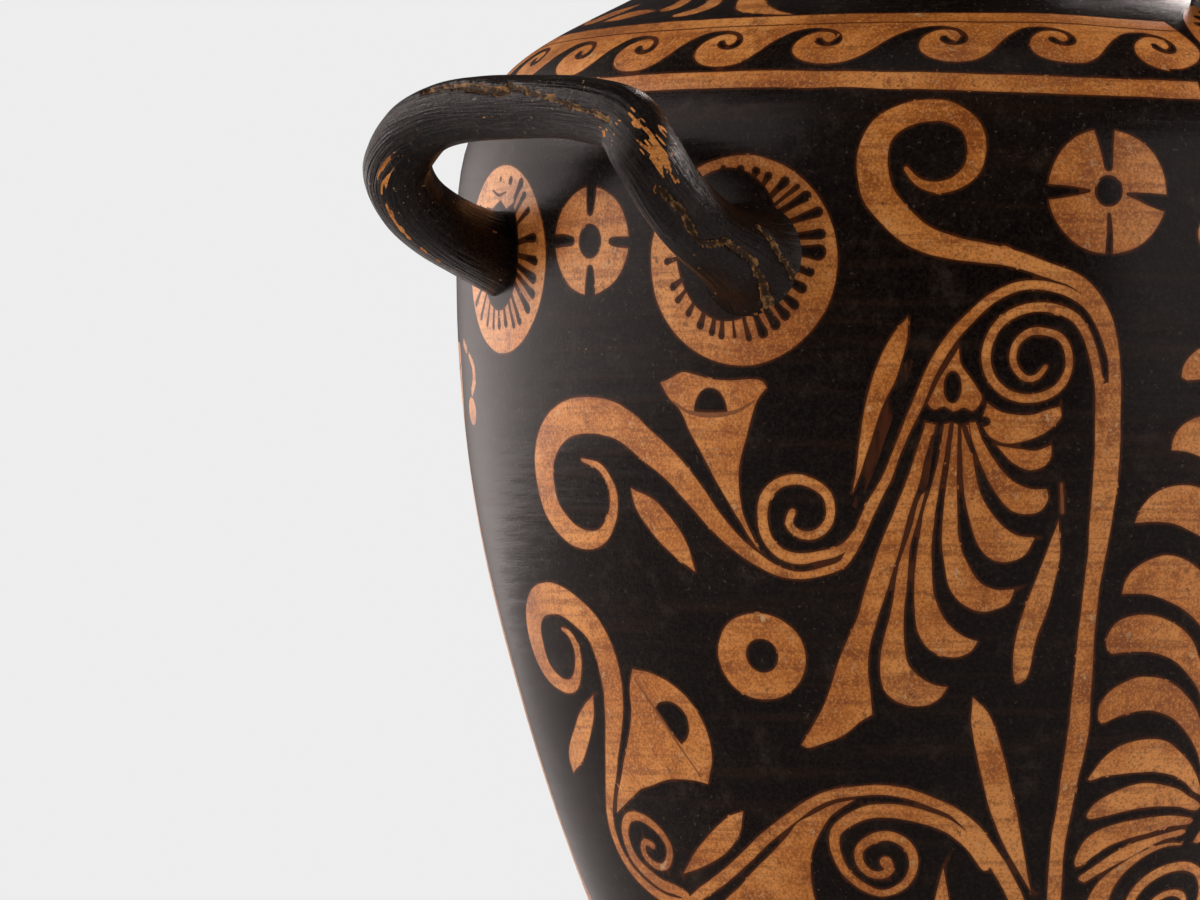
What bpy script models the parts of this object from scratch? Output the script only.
"""Terracotta hydria: a thrown and fired water jar, hollow and open at the mouth.

One fired piece: a ring foot, a tall body with its widest level high up, a narrow neck with an
overhanging lip, two side handles (+X and -X) and one tall handle at the back (+Y).
Metres, +Z up. The origin is on the jar's axis, at the surface that the foot stands on.
"""
import math

import bmesh
import bpy
from mathutils import Vector

# ---- driving dimensions ----
BODY_RADIUS = 0.140           # greatest radius of the body
BODY_WIDEST_Z = 0.315         # level of the greatest radius
FOOT_RADIUS = 0.063
FOOT_EDGE_HEIGHT = 0.015      # height of the foot's round edge
FOOT_RING_INNER = 0.047       # inner radius of the ring that it stands on
FOOT_HOLLOW_HEIGHT = 0.017    # how far the underside is hollowed out
STEM_RADIUS = 0.038
STEM_Z = 0.031
NECK_RADIUS = 0.042
NECK_Z = 0.437                # level where the neck is narrowest
LIP_RADIUS = 0.075
LIP_HEIGHT = 0.012
HEIGHT = 0.496
WALL = 0.0055
FLOOR_Z = 0.043               # inside bottom of the jar

TURN_SEGMENTS = 56            # facets round the axis
OUTLINE_POINTS = 32           # points up the outside of body and neck
TUBE_SIDES = 12               # facets round a handle
HANDLE_RINGS = 29             # rings along a handle
END_CROWDING = 0.11           # how much closer together the rings are at its ends

# Side handle: a U that leaves the wall level and then bends up.
ROOT_AZIMUTH = math.radians(19.0)     # each root's turn from the handle's own axis
ROOT_Z = 0.318
BAR_REACH = 0.172             # the bar's centre line from the jar's axis
BAR_RISE = 0.0392             # and above the roots
BAR_HALF = 0.046              # half the distance between the two legs
SIDE_TUBE_RADIUS = 0.0093
SIDE_TUBE_WIDENING = 1.06     # its section is a little wider than it is thick
SIDE_FLARE = 0.0065           # extra radius where a leg meets the wall
FLARE_LENGTH = 0.0065

# Back handle: from the shoulder to the neck, under the lip.
BACK_ROOT_RADIUS = 0.106
BACK_TUBE_RADIUS = 0.0085
BACK_TUBE_WIDENING = 1.2      # its section is wider than it is thick
BACK_FLARE = 0.0055

CLAY = (0.42, 0.20, 0.09, 1.0)
GLOSS_BLACK = (0.018, 0.015, 0.013, 1.0)


def smooth_through(points, count, crowd_ends=False):
    """Return count points on a centripetal Catmull-Rom curve through the given points."""
    points = [Vector(p) for p in points]
    ends = [2 * points[0] - points[1]] + points + [2 * points[-1] - points[-2]]
    knots = [0.0]
    for a, b in zip(ends, ends[1:]):
        knots.append(knots[-1] + math.sqrt((b - a).length))
    first, last = knots[1], knots[-2]
    result = []
    span = 1
    for i in range(count):
        share = i / (count - 1)
        if crowd_ends:
            share -= END_CROWDING * math.sin(2 * math.pi * share)
        t = first + (last - first) * share
        while span < len(points) - 1 and t > knots[span + 1]:
            span += 1
        p0, p1, p2, p3 = ends[span - 1:span + 3]
        t0, t1, t2, t3 = knots[span - 1:span + 3]
        a1 = p0.lerp(p1, (t - t0) / (t1 - t0))
        a2 = p1.lerp(p2, (t - t1) / (t2 - t1))
        a3 = p2.lerp(p3, (t - t2) / (t3 - t2))
        b1 = a1.lerp(a2, (t - t0) / (t2 - t0))
        b2 = a2.lerp(a3, (t - t1) / (t3 - t1))
        result.append(b1.lerp(b2, (t - t1) / (t2 - t1)))
    return result


def body_outline():
    """Outer outline of body and neck, (radius, 0, height), from the stem up to the lip's underside."""
    r, z = BODY_RADIUS, BODY_WIDEST_Z
    lip_under = HEIGHT - LIP_HEIGHT - 0.002
    return smooth_through((
        (STEM_RADIUS, 0, STEM_Z),
        (0.36 * r, 0, STEM_Z + 0.007),
        (0.52 * r, 0, z - 0.243),
        (0.73 * r, 0, z - 0.178),
        (0.868 * r, 0, z - 0.120),
        (0.963 * r, 0, z - 0.063),
        (r, 0, z - 0.004),
        (0.981 * r, 0, z + 0.038),
        (0.893 * r, 0, z + 0.060),
        (0.640 * r, 0, z + 0.081),
        (0.395 * r, 0, z + 0.0965),
        (NECK_RADIUS + 0.002, 0, z + 0.107),
        (NECK_RADIUS, 0, NECK_Z),
        (NECK_RADIUS + 0.005, 0, NECK_Z + 0.022),
        (0.80 * LIP_RADIUS, 0, lip_under - 0.006),
        (0.96 * LIP_RADIUS, 0, lip_under)), OUTLINE_POINTS)


def foot_outline():
    """Foot, (radius, 0, height), from the middle of its hollow underside round to the stem."""
    edge = FOOT_EDGE_HEIGHT
    hollow = smooth_through((
        (0.5 * FOOT_RING_INNER, 0, FOOT_HOLLOW_HEIGHT - 0.001),
        (0.88 * FOOT_RING_INNER, 0, 0.55 * FOOT_HOLLOW_HEIGHT),
        (FOOT_RING_INNER, 0, 0)), 5)
    edge_turn = []
    for i in range(5):
        turn = math.radians(-70 + 35 * i)
        edge_turn.append(Vector((FOOT_RADIUS - 0.004 + 0.004 * math.cos(turn), 0,
                                 edge / 2 + (edge / 2 - 0.001) * math.sin(turn))))
    top = smooth_through((
        (0.86 * FOOT_RADIUS, 0, edge + 0.001),
        (0.69 * FOOT_RADIUS, 0, edge + 0.005),
        (0.61 * FOOT_RADIUS, 0, STEM_Z - 0.006)), 4)
    return [Vector((0, 0, FOOT_HOLLOW_HEIGHT))] + hollow + [Vector((0.92 * FOOT_RADIUS, 0, 0))] \
        + edge_turn + top


def lip_outline():
    """Lip, from its outer edge over the flat top to the throat."""
    top = HEIGHT
    return [Vector((LIP_RADIUS, 0, top - LIP_HEIGHT)),
            Vector((LIP_RADIUS, 0, top - 0.003)),
            Vector((LIP_RADIUS - 0.0025, 0, top)),
            Vector((LIP_RADIUS - 0.0100, 0, top - 0.0005)),
            Vector((LIP_RADIUS - 0.0160, 0, top - 0.005))]


def inner_outline(outer):
    """Inside of the wall, from the throat down to the floor: the outer outline moved inwards."""
    moved = []
    for before, here, after in zip(outer, outer[1:], outer[2:]):
        along = (after - before).normalized()
        inward = Vector((-along.z, 0, along.x))
        moved.append(here + inward * WALL)
    kept = [p for p in moved if FLOOR_Z + 0.004 < p.z < HEIGHT - LIP_HEIGHT - 0.008]
    kept = kept[::-2]
    last = kept[-1]
    kept.append(Vector((0.62 * last.x, 0, FLOOR_Z + 0.0008)))
    kept.append(Vector((0, 0, FLOOR_Z)))
    return kept


def material(name, colour, roughness):
    """Plain Principled material."""
    made = bpy.data.materials.new(name)
    made.use_nodes = True
    shader = made.node_tree.nodes["Principled BSDF"]
    shader.inputs["Base Color"].default_value = colour
    shader.inputs["Roughness"].default_value = roughness
    shader.inputs["Metallic"].default_value = 0.0
    return made


def object_from(name, bm, finish):
    """Link a new object that holds the mesh."""
    bmesh.ops.recalc_face_normals(bm, faces=bm.faces)
    mesh = bpy.data.meshes.new(name)
    bm.to_mesh(mesh)
    bm.free()
    mesh.materials.append(finish)
    mesh.shade_smooth()
    mesh.set_sharp_from_angle(angle=math.radians(40))
    made = bpy.data.objects.new(name, mesh)
    bpy.context.scene.collection.objects.link(made)
    return made


def turned_vessel(finish):
    """Foot, body, neck and lip, turned on the axis as one hollow wall."""
    outer = body_outline()
    outline = foot_outline() + outer + lip_outline() + inner_outline(outer)
    bm = bmesh.new()
    verts = [bm.verts.new(p) for p in outline]
    edges = [bm.edges.new(pair) for pair in zip(verts, verts[1:])]
    bmesh.ops.spin(bm, geom=verts + edges, cent=(0, 0, 0), axis=(0, 0, 1),
                   angle=2 * math.pi, steps=TURN_SEGMENTS, use_merge=True)
    bmesh.ops.remove_doubles(bm, verts=bm.verts, dist=0.00005)
    bmesh.ops.dissolve_degenerate(bm, edges=bm.edges, dist=0.00001)
    return object_from("hydria", bm, finish)


def tube(name, route, radius_at, widening, side, finish):
    """Closed tube along a route; side is the direction in which its section is widened."""
    side = Vector(side)
    bm = bmesh.new()
    ring = bmesh.ops.create_circle(bm, segments=TUBE_SIDES, radius=1.0)["verts"]
    unit = [v.co.copy() for v in ring]
    loop = bm.edges[:]
    first_loop = loop
    for i, centre in enumerate(route):
        along = (route[min(i + 1, len(route) - 1)] - route[max(i - 1, 0)]).normalized()
        across = (side - along * side.dot(along)).normalized()
        up = along.cross(across)
        if i:
            grown = bmesh.ops.extrude_edge_only(bm, edges=loop)["geom"]
            loop = [g for g in grown if isinstance(g, bmesh.types.BMEdge)]
            ring = [g for g in grown if isinstance(g, bmesh.types.BMVert)]
        radius = radius_at(i)
        for vert, spot in zip(ring, unit):
            vert.co = centre + across * (spot.x * radius * widening) + up * (spot.y * radius)
    bmesh.ops.edgeloop_fill(bm, edges=first_loop)
    bmesh.ops.edgeloop_fill(bm, edges=[e for e in loop if e.is_boundary])
    return object_from(name, bm, finish)


def flared(route, plain, flare_first, flare_last):
    """Radius along a route: plain in the middle, wider like a trumpet at each end."""
    steps = [(b - a).length for a, b in zip(route, route[1:])]
    first = [sum(steps[:i]) for i in range(len(route))]
    last = [sum(steps[i:]) for i in range(len(route))]

    def radius_at(i):
        return plain + flare_first * math.exp(-first[i] / FLARE_LENGTH) \
            + flare_last * math.exp(-last[i] / FLARE_LENGTH)
    return radius_at


def side_handle(side, finish):
    """U-shaped handle: both legs leave the wall level, then bend up to the bar."""
    start_radius = BODY_RADIUS - WALL / 2
    x0 = start_radius * math.cos(ROOT_AZIMUTH)
    y0 = start_radius * math.sin(ROOT_AZIMUTH)
    out = BAR_REACH - x0
    leg = [(x0, y0, ROOT_Z),
           (x0 + 0.24 * out, BAR_HALF + 0.0018, ROOT_Z + 0.04 * BAR_RISE),
           (x0 + 0.55 * out, BAR_HALF + 0.0038, ROOT_Z + 0.15 * BAR_RISE),
           (x0 + 0.83 * out, BAR_HALF + 0.0038, ROOT_Z + 0.37 * BAR_RISE),
           (BAR_REACH, BAR_HALF + 0.0012, ROOT_Z + 0.65 * BAR_RISE),
           (BAR_REACH, BAR_HALF - 0.0065, ROOT_Z + 0.89 * BAR_RISE),
           (BAR_REACH, 0.62 * BAR_HALF, ROOT_Z + BAR_RISE)]
    points = leg + [(BAR_REACH, 0, ROOT_Z + BAR_RISE)] + [(x, -y, z) for x, y, z in reversed(leg)]
    route = smooth_through([(side * x, y, z) for x, y, z in points], HANDLE_RINGS, True)
    slope = math.atan2(BAR_RISE, out)
    name = "side_handle_right" if side > 0 else "side_handle_left"
    return tube(name, route, flared(route, SIDE_TUBE_RADIUS, SIDE_FLARE, SIDE_FLARE),
                SIDE_TUBE_WIDENING, (-side * math.sin(slope), 0, math.cos(slope)), finish)


def back_handle(finish):
    """Tall handle from the shoulder up and over to the neck, under the lip."""
    y, z = BACK_ROOT_RADIUS, BODY_WIDEST_Z + 0.070
    route = smooth_through((
        (0, y - 0.001, z),
        (0, y + 0.006, z + 0.0135),
        (0, y + 0.009, z + 0.030),
        (0, y + 0.008, z + 0.045),
        (0, y, z + 0.058),
        (0, 0.87 * y, z + 0.067),
        (0, 0.71 * y, z + 0.0675),
        (0, 0.55 * y, z + 0.0612),
        (0, NECK_RADIUS - 0.0002, z + 0.0605)), HANDLE_RINGS, True)
    return tube("back_handle", route, flared(route, BACK_TUBE_RADIUS, BACK_FLARE, 0.2 * BACK_FLARE),
                BACK_TUBE_WIDENING, (1, 0, 0), finish)


def join_to(vessel, handle):
    """Luting: the handle becomes one solid with the vessel."""
    union = vessel.modifiers.new("join_" + handle.name, "BOOLEAN")
    union.operation = "UNION"
    union.solver = "EXACT"
    union.object = handle
    handle.hide_render = True
    handle.display_type = "WIRE"


def main():
    for old in list(bpy.data.objects):
        bpy.data.objects.remove(old, do_unlink=True)
    gloss = material("black_gloss", GLOSS_BLACK, 0.28)
    clay = material("handle_clay", CLAY, 0.65)
    vessel = turned_vessel(gloss)
    for handle in (side_handle(1, clay), side_handle(-1, clay), back_handle(clay)):
        join_to(vessel, handle)


main()
